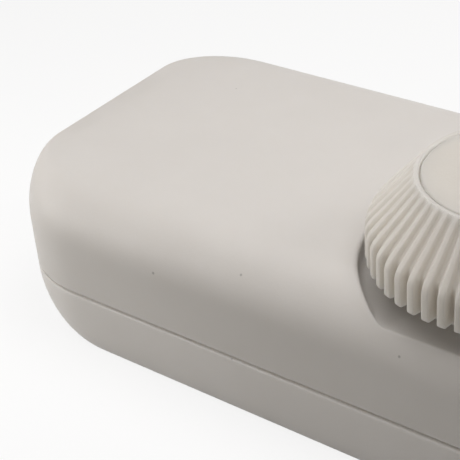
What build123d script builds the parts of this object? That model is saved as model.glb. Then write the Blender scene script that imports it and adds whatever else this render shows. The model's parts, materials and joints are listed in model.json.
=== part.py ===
from build123d import *
import math
import os

# Inline cord dimmer in millimetres: +X along the cord, +Y across, +Z up from the surface it rests on.
# The origin is the middle of the underside.

# Case
case_length = 130.0
case_width = 48.0
case_height = 22.5
corner_along = 12.6
corner_across = 10.1
top_side_round = 7.0
top_end_draw = 0.8
base_end_round = 8.1
base_side_draw = 1.2
wall = 2.0
seam_height = 8.7
seam_gap = 0.5
lip_height = 1.6
lip_thickness = 1.1
lip_clearance = 0.1
rounding_steps = 6

# Dial well and dial
dial_across = -7.45
dial_radius = 16.1
well_clearance = 0.8
well_depth = 2.65
well_floor = 2.0
dial_lift = 0.9
skirt_height = 4.1
cone_height = 6.0
cap_radius = 10.2
cap_thickness = 1.4
cap_crown = 0.35
cap_fit = 0.06
rib_count = 52
rib_depth = 0.9
rib_cone_depth = 0.7
rib_top_depth = 0.25
rib_share = 0.52
rib_end_height = 0.3
shoulder_round = 0.7
collar_width = 0.6
dial_wall = 1.8
sleeve_radius = 10.3
sleeve_wall = 1.6
sleeve_clearance = 0.4
hub_radius = 6.4
hub_below_skirt = 0.5
hub_web = 0.8
screw_head_room = 0.6

# Potentiometer
pot_radius = 8.0
pot_height = 7.5
pot_wall = 0.6
pot_plate = 1.1
pot_plate_clearance = 0.05
bushing_radius = 3.4
bushing_height = 4.4
bushing_hole_clearance = 0.15
shaft_radius = 3.0
shaft_flat = 1.5
shaft_flat_run_out = 0.4
shaft_fit = 0.05
washer_radius = 5.6
washer_thickness = 0.5
nut_flats = 9.5
nut_height = 1.8
rotor_radius = 4.8
rotor_height = 2.6
rotor_lift = 0.4
rotor_fit = 0.02
wiper_reach = 6.6
wiper_width = 2.4
wiper_thickness = 0.8
track_width = 1.6
track_thickness = 0.1
pin_pitch = 5.0
pin_offset = 4.0
pin_radius = 0.45
pin_stub = 0.6
pin_clearance = 0.15

# Circuit board
board_end_room = 28.0
board_side_room = 5.0
board_thickness = 1.6
board_corner = 2.0
board_clearance_below = 3.0
post_radius = 2.6
post_inset_along = 5.0
post_inset_across = 4.0

# Threads and screws
self_tap_radius = 1.45
thread_clearance = 0.05
thread_run_out = 0.5
screw_hole_radius = 1.65
head_radius = 2.7
head_height = 1.8
head_clearance = 0.3
slot_width = 0.8
slot_depth = 0.7
board_screw_length = 5.0
cover_screw_inset_along = 13.0
cover_screw_inset_across = 8.0
cover_post_radius = 3.8
cover_boss_radius = 3.4
cover_screw_length = 14.0
cover_screw_sink = 2.4
cover_post_gap = 0.3
machine_screw_radius = 1.5
machine_hole_clearance = 0.1
machine_head_radius = 2.8
machine_head_height = 2.0
machine_nut_flats = 5.5
machine_nut_height = 2.0
dial_screw_grip = 5.0

# Cord entries and clamps
cord_radius = 3.5
cord_clearance = 0.1
entry_collar = 5.0
entry_collar_wall = 1.8
clamp_inset_along = 14.5
clamp_across = 8.0
clamp_post_radius = 3.0
clamp_squeeze = 0.6
clamp_bar_width = 6.0
clamp_bar_thickness = 2.5
clamp_screw_length = 9.0
saddle_width = 3.0
saddle_length = 11.0

# Terminal blocks
terminal_edge = 1.0
terminal_depth = 10.0
terminal_width = 15.0
terminal_height = 10.0
terminal_pitch = 7.5
terminal_wire_radius = 1.6
terminal_wire_height = 3.4
terminal_driver_clearance = 0.4
cage_lift = 1.2
cage_depth = 4.6
cage_width = 4.8
cage_height = 6.0
cage_clearance = 0.1
terminal_screw_radius = 1.3
terminal_screw_length = 4.6
terminal_slot_width = 0.4

# Parts on the board
part_edge = 0.5
joint_overlap = 0.2
component_round = 0.4
lead_radius = 0.35
lead_inset = 1.5
lead_reach = 1.6
sink_along = -15.7
sink_length = 19.0
sink_width = 15.0
sink_thickness = 1.5
sink_fin_height = 10.4
triac_fin_clearance = 0.5
triac_width = 10.2
triac_tab_length = 15.5
triac_tab_thickness = 1.3
triac_body_length = 9.2
triac_height = 4.5
triac_hole_radius = 1.8
triac_hole_inset = 3.0
triac_leg_pitch = 2.54
triac_leg_size = 0.8
triac_leg_run = 2.6
triac_leg_clearance = 0.3
choke_along = 15.5
choke_outer = 9.5
choke_inner = 4.0
choke_height = 9.0
winding_thickness = 1.0
winding_sweep = 300.0
winding_lead_angle = 10.0
filter_cap_along = 17.5
filter_cap_across = -12.0
filter_cap_length = 13.0
filter_cap_width = 6.5
filter_cap_height = 10.5
timing_cap_along = -0.8
timing_cap_across = 10.0
timing_cap_length = 7.2
timing_cap_width = 3.0
timing_cap_height = 7.5
resistor_along = -17.5
resistor_across = -4.3
resistor_pitch = 3.0
resistor_radius = 1.2
resistor_length = 6.5
diac_radius = 0.95
diac_length = 3.8
diac_pitch = 2.9

# Fuse and its clips
fuse_along = -20.0
fuse_clearance_below = 1.1
fuse_length = 20.0
fuse_glass_radius = 2.3
fuse_glass_wall = 0.5
fuse_cap_radius = 2.6
fuse_cap_length = 5.0
fuse_cap_end = 0.4
fuse_fit = 0.02
clip_length = 4.0
clip_wall = 0.5
clip_opening = 0.62

# How far a cut runs past the face that it opens
past = 1.0

# Levels and places that follow from the sizes above
end_x = case_length / 2
side_y = case_width / 2
lip_outside = wall - lip_thickness
lip_z = seam_height + lip_height
well_radius = dial_radius + well_clearance
well_z = case_height - well_depth
well_under_z = well_z - well_floor
skirt_z = case_height + dial_lift
shoulder_z = skirt_z + skirt_height
crown_z = shoulder_z + cone_height
collar_radius = cap_radius + collar_width
root_radius = dial_radius - rib_depth
cap_z = crown_z - cap_thickness
hub_z = skirt_z - hub_below_skirt
head_seat_z = cap_z - screw_head_room - machine_head_height
shaft_top_z = head_seat_z - hub_web
pot_z = well_under_z - pot_height
rotor_z = pot_z + pot_plate + rotor_lift
bushing_top_z = well_under_z + bushing_height
bushing_hole_radius = bushing_radius + bushing_hole_clearance
board_z = wall + board_clearance_below
board_top_z = board_z + board_thickness
board_length = case_length - 2 * board_end_room
board_width = case_width - 2 * board_side_room
board_side_y = board_width / 2
post_along = board_length / 2 - post_inset_along
post_across = board_side_y - post_inset_across
cover_screw_along = end_x - cover_screw_inset_along
cover_screw_across = side_y - cover_screw_inset_across
cover_post_z = seam_height - cover_post_gap
pilot_radius = self_tap_radius + thread_clearance
entry_radius = cord_radius + cord_clearance
clamp_along = end_x - clamp_inset_along
clamp_post_z = seam_height + cord_radius - clamp_squeeze
rib_angle = 360.0 / rib_count
lead_hole_radius = lead_radius + pin_clearance
pin_across = dial_across + pin_offset
machine_hole_radius = machine_screw_radius + machine_hole_clearance
sink_across = board_side_y - part_edge - sink_width / 2
triac_end_y = sink_across + sink_width / 2 - sink_thickness - triac_fin_clearance
triac_hole_y = triac_end_y - triac_hole_inset
triac_leg_y = triac_end_y - triac_tab_length - triac_leg_run
choke_across = board_side_y - part_edge - choke_outer
fuse_grip_radius = fuse_cap_radius + fuse_fit
fuse_across = part_edge + clip_wall + fuse_grip_radius - board_side_y
fuse_z = board_top_z + fuse_clearance_below + clip_wall + fuse_grip_radius
terminal_along = board_length / 2 - terminal_edge - terminal_depth / 2
terminal_wire_z = board_top_z + terminal_wire_height
cage_z = board_top_z + cage_lift
dial_axis = (0.0, dial_across)


def disc(radius, low, high, x=0.0, y=0.0):
    return Pos(x, y, low) * Cylinder(radius, high - low, align=(Align.CENTER, Align.CENTER, Align.MIN))


def block(x_size, y_size, low, high, x=0.0, y=0.0):
    align = (Align.CENTER, Align.CENTER, Align.MIN)
    return Pos(x, y, low) * Box(x_size, y_size, high - low, align=align)


def hexagon(flats, low, high):
    return Pos(0, 0, low) * extrude(RegularPolygon(flats / 2, 6, major_radius=False), high - low)


def turned(points):
    """Solid of revolution about Z through the origin, from points given as (radius, height)."""
    section = Plane.XZ * make_face(Polyline(*points, close=True))
    return revolve(section, Axis.Z)


def rod_x(radius, x_one, x_other, y, z):
    length = abs(x_other - x_one)
    return Pos((x_one + x_other) / 2, y, z) * Rot(0, 90, 0) * Cylinder(radius, length)


def group(solids):
    return Compound(children=list(solids))


def corners(along, across):
    places = []
    for x_side in (-1, 1):
        for y_side in (-1, 1):
            places.append((x_side * along, y_side * across))
    return places


# Case forms
def case_outline(draw_x, draw_y, shrink, z):
    """Outline of the case at one height: a rectangle with elliptical corners, drawn in from the widest."""
    half_x = end_x - draw_x - shrink
    half_y = side_y - draw_y - shrink
    round_x = corner_along - shrink - (draw_x + draw_y) / 2
    round_y = corner_across - shrink - (draw_x + draw_y) / 2
    mid_x = half_x - round_x
    mid_y = half_y - round_y
    edges = [
        Line((-mid_x, -half_y), (mid_x, -half_y)),
        EllipticalCenterArc((mid_x, -mid_y), round_x, round_y, -90, arc_size=90),
        Line((half_x, -mid_y), (half_x, mid_y)),
        EllipticalCenterArc((mid_x, mid_y), round_x, round_y, 0, arc_size=90),
        Line((mid_x, half_y), (-mid_x, half_y)),
        EllipticalCenterArc((-mid_x, mid_y), round_x, round_y, 90, arc_size=90),
        Line((-half_x, mid_y), (-half_x, -mid_y)),
        EllipticalCenterArc((-mid_x, -mid_y), round_x, round_y, 180, arc_size=90),
    ]
    return Pos(0, 0, z) * make_face(Curve() + edges)


def rounded_zone(spring_z, rise, draw_x, draw_y, shrink):
    """Part of the case where the outline draws in by a quarter ellipse, from spring_z over the given rise."""
    outlines = []
    for step in range(rounding_steps + 1):
        angle = math.radians(90.0 * step / rounding_steps)
        drawn = 1 - math.cos(angle)
        z = spring_z + rise * math.sin(angle)
        outlines.append(case_outline(draw_x * drawn, draw_y * drawn, shrink, z))
    return loft(outlines)


def upper_form(shrink):
    """Solid of the upper half of the case, moved in by shrink on every side."""
    rise = top_side_round - shrink
    spring_z = case_height - top_side_round
    straight = extrude(case_outline(0, 0, shrink, seam_height), spring_z - seam_height)
    return straight + rounded_zone(spring_z, rise, top_end_draw, rise, shrink)


def lower_form(shrink):
    """Solid of the lower half of the case, moved in by shrink on every side."""
    rise = base_end_round - shrink
    straight = extrude(case_outline(0, 0, shrink, base_end_round), seam_height - base_end_round)
    return straight + rounded_zone(base_end_round, -rise, rise, base_side_draw, shrink)


def rim_band(shrink_out, shrink_in, low, high):
    outer = extrude(case_outline(0, 0, shrink_out, low), high - low)
    return outer - extrude(case_outline(0, 0, shrink_in, low), high - low)


def entry_bore(side):
    inner = side * (end_x - wall - entry_collar - past)
    return rod_x(entry_radius, inner, side * (end_x + past), 0, seam_height)


def entry_collar_ring(side):
    """Collar inside the end wall that carries the cord entry over its whole length."""
    outer = side * (end_x - wall / 2)
    inner = side * (end_x - wall - entry_collar)
    return rod_x(entry_radius + entry_collar_wall, inner, outer, 0, seam_height)


# Case shells
def make_top_cover():
    outer = upper_form(0)
    cover = outer - upper_form(wall)
    cover += disc(well_radius + wall, well_under_z, case_height, *dial_axis) & outer
    boss_room = upper_form(wall / 2)
    for x, y in corners(cover_screw_along, cover_screw_across):
        foot = disc(cover_boss_radius, cover_post_z, seam_height, x, y)
        cover += disc(cover_boss_radius, cover_post_z, case_height, x, y) & (boss_room + foot)
    above_seam = block(case_length, case_width, seam_height, case_height)
    for side in (-1, 1):
        cover += entry_collar_ring(side) & above_seam
    cover -= rim_band(0, lip_outside, seam_height, seam_height + seam_gap / 2)
    cover -= rim_band(lip_outside, wall, seam_height, lip_z)
    for side in (-1, 1):
        cover -= entry_bore(side)
    cover -= disc(well_radius, well_z, case_height + past, *dial_axis)
    cover -= disc(bushing_hole_radius, well_under_z - past, well_z + past, *dial_axis)
    screw_end_z = cover_screw_sink + cover_screw_length
    for x, y in corners(cover_screw_along, cover_screw_across):
        cover -= disc(pilot_radius, cover_post_z - past, screw_end_z + thread_run_out, x, y)
    return cover


def make_base_shell():
    base = lower_form(0) - lower_form(wall)
    base += rim_band(lip_outside + lip_clearance, wall, base_end_round, lip_z)
    below_seam = block(case_length, case_width, 0, seam_height)
    for side in (-1, 1):
        base += entry_collar_ring(side) & below_seam
    post_room = lower_form(wall / 2)
    for x, y in corners(cover_screw_along, cover_screw_across):
        base += disc(cover_post_radius, wall / 2, cover_post_z, x, y) & post_room
    for x, y in corners(post_along, post_across):
        base += disc(post_radius, wall / 2, board_z, x, y)
    for x, y in corners(clamp_along, clamp_across):
        base += disc(clamp_post_radius, wall / 2, clamp_post_z, x, y)
    for side in (-1, 1):
        base += block(saddle_width, saddle_length, wall / 2, seam_height - entry_radius, side * clamp_along)
        base -= collar_gap(side)
        base -= entry_bore(side)
    base -= rim_band(0, lip_outside, seam_height - seam_gap / 2, seam_height)
    for x, y in corners(cover_screw_along, cover_screw_across):
        base -= disc(screw_hole_radius, -past, cover_post_z + past, x, y)
        base -= disc(head_radius + head_clearance, -past, cover_screw_sink, x, y)
    for x, y in board_screw_places():
        base -= disc(pilot_radius, board_top_z - board_screw_length - thread_run_out, board_z + past, x, y)
    clamp_screw_z = clamp_post_z + clamp_bar_thickness - clamp_screw_length
    for x, y in corners(clamp_along, clamp_across):
        base -= disc(pilot_radius, clamp_screw_z - thread_run_out, clamp_post_z + past, x, y)
    return base


def collar_gap(side):
    """Gap in the lip where the cover's half of the entry collar comes down to the seam."""
    width = 2 * (entry_radius + entry_collar_wall + lip_clearance)
    return block(2 * wall + 2 * past, width, seam_height, lip_z + past, side * (end_x - wall / 2))


# Dial
def rib_teeth():
    """Wedges round the dial axis, one for each rib, as wide as its crest."""
    half = math.radians(rib_angle * rib_share / 2)
    inner = cap_radius - past
    outer = dial_radius + past
    wedge = Polygon(
        (inner * math.cos(half), inner * math.sin(half)),
        (inner * math.cos(half), -inner * math.sin(half)),
        (outer * math.cos(half), -outer * math.sin(half)),
        (outer * math.cos(half), outer * math.sin(half)),
        align=None,
    )
    wedges = [Rot(0, 0, index * rib_angle) * wedge for index in range(rib_count)]
    return Pos(0, 0, skirt_z) * extrude(Sketch() + wedges, crown_z - skirt_z)


def cone_level(radius):
    """Height of the dial's conical crest surface at a radius."""
    slope = cone_height / (dial_radius - collar_radius)
    return shoulder_z + (dial_radius - radius) * slope


def cone_drop(thickness):
    """How far down a surface lies that is parallel to the cone and deeper by a thickness."""
    return thickness * math.hypot(cone_height, dial_radius - collar_radius) / (dial_radius - collar_radius)


def make_dial_knob():
    crest = turned([
        (0, skirt_z), (dial_radius, skirt_z), (dial_radius, shoulder_z),
        (collar_radius, crown_z), (0, crown_z),
    ])
    crest = fillet(edge_ring(crest, dial_radius, shoulder_z), shoulder_round)
    root_z = skirt_z + rib_end_height
    root_drop = cone_drop(rib_cone_depth)
    root = turned([
        (0, hub_z), (hub_radius, hub_z), (hub_radius, root_z), (root_radius, root_z),
        (root_radius, cone_level(root_radius) - root_drop),
        (collar_radius, crown_z - cone_drop(rib_top_depth)),
        (collar_radius, crown_z), (0, crown_z),
    ])
    knob = root + (crest & rib_teeth())
    inner_radius = root_radius - dial_wall
    roof_drop = cone_drop(rib_depth + dial_wall)
    roof_z = crown_z - roof_drop
    knob -= turned([
        (hub_radius, hub_z - past), (inner_radius, hub_z - past),
        (inner_radius, cone_level(inner_radius) - roof_drop), (collar_radius, roof_z), (hub_radius, roof_z),
    ])
    sleeve = disc(sleeve_radius, well_z + sleeve_clearance, roof_z + joint_overlap)
    knob += sleeve - disc(sleeve_radius - sleeve_wall, well_z, crown_z)
    knob -= disc(cap_radius, cap_z, crown_z + past)
    knob -= flatted_rod(shaft_radius + shaft_fit, shaft_flat, hub_z - past, shaft_top_z)
    knob -= disc(machine_hole_radius, shaft_top_z - past, head_seat_z + past)
    knob -= disc(machine_head_radius + head_clearance, head_seat_z, crown_z)
    return Pos(*dial_axis) * knob


def edge_ring(solid, radius, z):
    """The circular edge of a turned solid at one radius and height."""
    rings = solid.edges().filter_by(GeomType.CIRCLE)
    return rings.sort_by(lambda ring: abs(ring.radius - radius) + abs(ring.center().Z - z))[0]


def flatted_rod(radius, flat, low, high):
    """Rod with one flat, cut in from the shaft's own surface by the given depth."""
    flat_y = radius - flat
    return disc(radius, low, high) & block(2 * radius, 2 * radius, low, high, 0, flat_y - radius)


def make_dial_cap():
    """Round cap with a slightly domed top, pressed into the knob over its screw."""
    rim = cap_radius - cap_fit
    dome_radius = (rim ** 2 + cap_crown ** 2) / (2 * cap_crown)
    dome = Pos(0, 0, crown_z + cap_crown - dome_radius) * Sphere(dome_radius)
    return Pos(*dial_axis) * (disc(rim, cap_z, crown_z + cap_crown + past) & dome)


def slotted_screw(radius, length, head_r, head_h, seat_z):
    """Screw with its head standing on seat_z and its body going down."""
    screw = disc(radius, seat_z - length, seat_z) + disc(head_r, seat_z, seat_z + head_h)
    top_z = seat_z + head_h
    screw -= block(2 * (head_r + past), slot_width, top_z - slot_depth, top_z + past)
    return screw


def machine_screw(length, seat_z):
    return slotted_screw(machine_screw_radius, length, machine_head_radius, machine_head_height, seat_z)


def self_tapper(length, seat_z):
    return slotted_screw(self_tap_radius, length, head_radius, head_height, seat_z)


def make_dial_screw():
    return Pos(*dial_axis) * machine_screw(hub_web + dial_screw_grip, head_seat_z)


# Potentiometer
def make_pot_can():
    can = disc(pot_radius, pot_z, well_under_z)
    can -= disc(pot_radius - pot_wall, pot_z - past, well_under_z - pot_wall)
    can += disc(bushing_radius, well_under_z - pot_wall, bushing_top_z)
    can -= disc(shaft_radius + shaft_fit, pot_z, bushing_top_z + past)
    return Pos(*dial_axis) * can


def make_pot_track():
    plate_top_z = pot_z + pot_plate
    plate = disc(pot_radius - pot_wall - pot_plate_clearance, pot_z, plate_top_z)
    track = disc(wiper_reach, plate_top_z, plate_top_z + track_thickness)
    plate += track - disc(wiper_reach - track_width, plate_top_z, plate_top_z + past)
    return Pos(*dial_axis) * plate


def make_pot_pins():
    pins = []
    for step in (-1, 0, 1):
        pins.append(disc(pin_radius, board_z - pin_stub, pot_z, step * pin_pitch, pin_across))
    return group(pins)


def make_pot_shaft():
    flat_z = hub_z - shaft_flat_run_out
    shaft = disc(shaft_radius, rotor_z, flat_z) + flatted_rod(shaft_radius, shaft_flat, flat_z, shaft_top_z)
    bore_radius = machine_screw_radius + thread_clearance
    shaft -= disc(bore_radius, shaft_top_z - dial_screw_grip - thread_run_out, shaft_top_z + past)
    return Pos(*dial_axis) * shaft


def make_pot_rotor():
    rotor = disc(rotor_radius, rotor_z, rotor_z + rotor_height)
    rotor += block(wiper_reach, wiper_width, rotor_z, rotor_z + wiper_thickness, wiper_reach / 2)
    rotor -= disc(shaft_radius + rotor_fit, rotor_z - past, rotor_z + rotor_height + past)
    return Pos(*dial_axis) * rotor


def make_shaft_washer():
    ring = disc(washer_radius, well_z, well_z + washer_thickness)
    ring -= disc(bushing_hole_radius, well_z - past, well_z + washer_thickness + past)
    return Pos(*dial_axis) * ring


def make_shaft_nut():
    low = well_z + washer_thickness
    nut = hexagon(nut_flats, low, low + nut_height)
    nut -= disc(bushing_radius + thread_clearance, low - past, low + nut_height + past)
    return Pos(*dial_axis) * nut


# Circuit board and its screws
def board_screw_places():
    return [(-post_along, post_across), (post_along, -post_across)]


def lead_places():
    """Where leads go through the board, each as x, y and hole radius."""
    places = []
    for step in (-1, 0, 1):
        places.append((step * pin_pitch, pin_across, pin_radius + pin_clearance))
        leg_hole_radius = triac_leg_size / 2 + triac_leg_clearance
        places.append((sink_along + step * triac_leg_pitch, triac_leg_y, leg_hole_radius))
    thin = axial_lead_places() + filter_lead_places() + timing_lead_places()
    for x, y in thin + choke_lead_places() + terminal_pin_places():
        places.append((x, y, lead_hole_radius))
    return places


def make_circuit_board():
    sketch = RectangleRounded(board_length, board_width, board_corner)
    board = Pos(0, 0, board_z) * extrude(sketch, board_thickness)
    for x, y in board_screw_places():
        board -= disc(screw_hole_radius, board_z - past, board_top_z + past, x, y)
    board -= disc(machine_hole_radius, board_z - past, board_top_z + past, sink_along, triac_hole_y)
    for x, y, radius in lead_places():
        board -= disc(radius, board_z - past, board_top_z + past, x, y)
    return board


def make_board_screws():
    screw = self_tapper(board_screw_length, board_top_z)
    return group(Pos(x, y, 0) * screw for x, y in board_screw_places())


def lead(x, y, top_z):
    return disc(lead_radius, board_z - pin_stub, top_z, x, y)


# Triac on its heat sink
def make_heat_sink():
    plate_top_z = board_top_z + sink_thickness
    sink = block(sink_length, sink_width, board_top_z, plate_top_z, sink_along, sink_across)
    fin_y = sink_across + (sink_width - sink_thickness) / 2
    sink += block(sink_length, sink_thickness, board_top_z, board_top_z + sink_fin_height, sink_along, fin_y)
    return sink - disc(machine_hole_radius, board_top_z - past, plate_top_z + past, sink_along, triac_hole_y)


def make_triac():
    low = board_top_z + sink_thickness
    tab_y = triac_end_y - triac_tab_length / 2
    tab_top_z = low + triac_tab_thickness
    triac = block(triac_width, triac_tab_length, low, tab_top_z, sink_along, tab_y)
    body_y = triac_end_y - triac_tab_length + triac_body_length / 2
    triac += block(triac_width, triac_body_length, low, low + triac_height, sink_along, body_y)
    triac -= disc(triac_hole_radius, low - past, tab_top_z + past, sink_along, triac_hole_y)
    for step in (-1, 0, 1):
        triac += triac_leg(sink_along + step * triac_leg_pitch, low + triac_height / 2)
    return triac


def triac_leg(x, z):
    """Leg coming out of the body level and bent down through the board."""
    start_y = triac_end_y - triac_tab_length + joint_overlap
    run = start_y - triac_leg_y + triac_leg_size / 2
    half = triac_leg_size / 2
    leg = block(triac_leg_size, run, z - half, z + half, x, start_y - run / 2)
    return leg + block(triac_leg_size, triac_leg_size, board_z - pin_stub, z, x, triac_leg_y)


def make_heat_sink_screw():
    seat_z = board_top_z + sink_thickness + triac_tab_thickness
    screw = machine_screw(seat_z - board_z + machine_nut_height, seat_z)
    return Pos(sink_along, triac_hole_y, 0) * screw


def make_heat_sink_nut():
    low = board_z - machine_nut_height
    nut = hexagon(machine_nut_flats, low, board_z)
    nut -= disc(machine_screw_radius + thread_clearance, low - past, board_z + past)
    return Pos(sink_along, triac_hole_y, 0) * nut


# Choke
def winding_start():
    """Angle where the winding begins, so that its open sector faces the end of the case."""
    return (360.0 - winding_sweep) / 2


def choke_lead_places():
    reach = (choke_outer + choke_inner) / 2
    places = []
    for degrees in (winding_lead_angle, winding_sweep - winding_lead_angle):
        angle = math.radians(degrees + winding_start())
        places.append((choke_along + reach * math.cos(angle), choke_across + reach * math.sin(angle)))
    return places


def make_choke_core():
    low = board_top_z + winding_thickness
    high = board_top_z + choke_height - winding_thickness
    ring = disc(choke_outer - winding_thickness, low, high)
    ring -= disc(choke_inner + winding_thickness, low - past, high + past)
    return Pos(choke_along, choke_across, 0) * ring


def make_choke_winding():
    """Winding round the core, as one closed sleeve that leaves a sector of the core bare."""
    width = choke_outer - choke_inner
    outer = Rectangle(width, choke_height)
    inner = Rectangle(width - 2 * winding_thickness, choke_height - 2 * winding_thickness)
    centre = Pos(choke_inner + width / 2, board_top_z + choke_height / 2)
    winding = revolve(Plane.XZ * (centre * (outer - inner)), Axis.Z, winding_sweep)
    winding = Pos(choke_along, choke_across, 0) * Rot(0, 0, winding_start()) * winding
    for x, y in choke_lead_places():
        winding += lead(x, y, board_top_z + winding_thickness / 2)
    return winding


# Capacitors, resistors and the trigger diode
def filter_lead_places():
    reach = filter_cap_length / 2 - lead_inset
    return [(filter_cap_along + side * reach, filter_cap_across) for side in (-1, 1)]


def timing_lead_places():
    reach = timing_cap_length / 2 - lead_inset
    return [(timing_cap_along, timing_cap_across + side * reach) for side in (-1, 1)]


def box_capacitor(x_size, y_size, height, x, y, leads):
    case = block(x_size, y_size, board_top_z, board_top_z + height, x, y)
    case = fillet(case.edges().filter_by(Axis.Z) + case.faces().sort_by(Axis.Z)[-1].edges(), component_round)
    for lead_x, lead_y in leads:
        case += lead(lead_x, lead_y, board_top_z + joint_overlap)
    return case


def make_filter_capacitor():
    place = (filter_cap_along, filter_cap_across)
    return box_capacitor(filter_cap_length, filter_cap_width, filter_cap_height, *place, filter_lead_places())


def make_timing_capacitor():
    place = (timing_cap_along, timing_cap_across)
    return box_capacitor(timing_cap_width, timing_cap_length, timing_cap_height, *place, timing_lead_places())


def axial_rows():
    """Axial parts side by side, each as body radius, body length and y."""
    second = resistor_across - resistor_pitch
    return [
        (resistor_radius, resistor_length, resistor_across),
        (resistor_radius, resistor_length, second),
        (diac_radius, diac_length, second - diac_pitch),
    ]


def axial_lead_places():
    places = []
    for radius, length, y in axial_rows():
        for side in (-1, 1):
            places.append((resistor_along + side * (length / 2 + lead_reach), y))
    return places


def axial_part(radius, length, y):
    """Round body lying on the board, with its two wires bent down through it."""
    z = board_top_z + radius
    reach = length / 2 + lead_reach
    shape = rod_x(radius, resistor_along - length / 2, resistor_along + length / 2, y, z)
    shape += rod_x(lead_radius, resistor_along - reach, resistor_along + reach, y, z)
    for side in (-1, 1):
        shape += lead(resistor_along + side * reach, y, z)
    return shape


def make_resistors():
    return group(axial_part(*row) for row in axial_rows()[:2])


def make_trigger_diode():
    return axial_part(*axial_rows()[2])


# Fuse in its clips
def make_fuse_glass():
    half = fuse_length / 2 - fuse_cap_end
    tube = rod_x(fuse_glass_radius, fuse_along - half, fuse_along + half, fuse_across, fuse_z)
    bore_radius = fuse_glass_radius - fuse_glass_wall
    bore_half = half + past
    return tube - rod_x(bore_radius, fuse_along - bore_half, fuse_along + bore_half, fuse_across, fuse_z)


def fuse_cap(side):
    outer_end = fuse_along + side * fuse_length / 2
    inner_end = outer_end - side * fuse_cap_length
    cap = rod_x(fuse_cap_radius, outer_end, inner_end, fuse_across, fuse_z)
    floor_end = outer_end - side * fuse_cap_end
    return cap - rod_x(fuse_glass_radius + fuse_fit, floor_end, inner_end - side * past, fuse_across, fuse_z)


def make_fuse_caps():
    return group(fuse_cap(side) for side in (-1, 1))


def fuse_clip(side):
    """Spring clip: a cradle open at the top, gripping one cap."""
    x = fuse_along + side * (fuse_length - fuse_cap_length) / 2
    outer = fuse_grip_radius + clip_wall
    clip = rod_x(outer, x - clip_length / 2, x + clip_length / 2, fuse_across, fuse_z)
    clip += block(clip_length, 2 * fuse_grip_radius, board_top_z, fuse_z, x, fuse_across)
    clip -= rod_x(fuse_grip_radius, x - clip_length, x + clip_length, fuse_across, fuse_z)
    mouth_z = fuse_z + clip_opening * fuse_grip_radius
    return clip - block(2 * clip_length, 2 * outer, mouth_z, fuse_z + outer + past, x, fuse_across)


def make_fuse_clips():
    return group(fuse_clip(side) for side in (-1, 1))


# Terminals
def block_terminals(side):
    """Places of the two terminals in one block."""
    return [(side * terminal_along, pole * terminal_pitch / 2) for pole in (-1, 1)]


def terminal_pin_places():
    return block_terminals(-1) + block_terminals(1)


def make_terminal_block(side):
    low = board_top_z
    high = board_top_z + terminal_height
    shape = block(terminal_depth, terminal_width, low, high, side * terminal_along)
    shape = fillet(shape.edges().filter_by(Axis.Z), component_round)
    pocket_depth = cage_depth + 2 * cage_clearance
    pocket_width = cage_width + 2 * cage_clearance
    pocket_z = cage_z + cage_height + cage_clearance
    for x, y in block_terminals(side):
        shape -= block(pocket_depth, pocket_width, low - past, pocket_z, x, y)
        shape -= rod_x(terminal_wire_radius, x, x + side * (terminal_depth / 2 + past), y, terminal_wire_z)
        shape -= disc(terminal_screw_radius + terminal_driver_clearance, cage_z, high + past, x, y)
    return shape


def terminal_cage(x, y):
    """Metal cage with a wire hole, a threaded roof and a pin down through the board."""
    top_z = cage_z + cage_height
    cage = block(cage_depth, cage_width, cage_z, top_z, x, y)
    cage -= rod_x(terminal_wire_radius, x - cage_depth, x + cage_depth, y, terminal_wire_z)
    cage -= disc(terminal_screw_radius + thread_clearance, terminal_wire_z, top_z + past, x, y)
    return cage + lead(x, y, cage_z + joint_overlap)


def make_terminal_cages():
    return group(terminal_cage(x, y) for x, y in terminal_pin_places())


def terminal_screw(x, y):
    """Clamping screw, run half way down into the wire hole."""
    low = terminal_wire_z + terminal_wire_radius / 2
    high = low + terminal_screw_length
    screw = disc(terminal_screw_radius, low, high, x, y)
    slot_length = 2 * (terminal_screw_radius + past)
    return screw - block(slot_length, terminal_slot_width, high - slot_depth, high + past, x, y)


def make_terminal_screws():
    return group(terminal_screw(x, y) for x, y in terminal_pin_places())


# Cord clamps and case screws
def make_cord_clamp(side):
    """Bar with rounded ends and a groove that presses the cord into its saddle."""
    x = side * clamp_along
    length = 2 * (clamp_across + clamp_post_radius)
    top_z = clamp_post_z + clamp_bar_thickness
    bar = extrude(SlotOverall(length, clamp_bar_width, rotation=90), clamp_bar_thickness)
    bar = Pos(x, 0, clamp_post_z) * bar
    bar -= rod_x(cord_radius, x - clamp_bar_width, x + clamp_bar_width, 0, seam_height)
    for y_side in (-1, 1):
        bar -= disc(screw_hole_radius, clamp_post_z - past, top_z + past, x, y_side * clamp_across)
    return bar


def make_clamp_screws():
    screw = self_tapper(clamp_screw_length, clamp_post_z + clamp_bar_thickness)
    return group(Pos(x, y, 0) * screw for x, y in corners(clamp_along, clamp_across))


def make_cover_screws():
    """Four screws driven up through the base into the cover's bosses."""
    screw = Rot(180, 0, 0) * self_tapper(cover_screw_length, -cover_screw_sink)
    return group(Pos(x, y, 0) * screw for x, y in corners(cover_screw_along, cover_screw_across))


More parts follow.
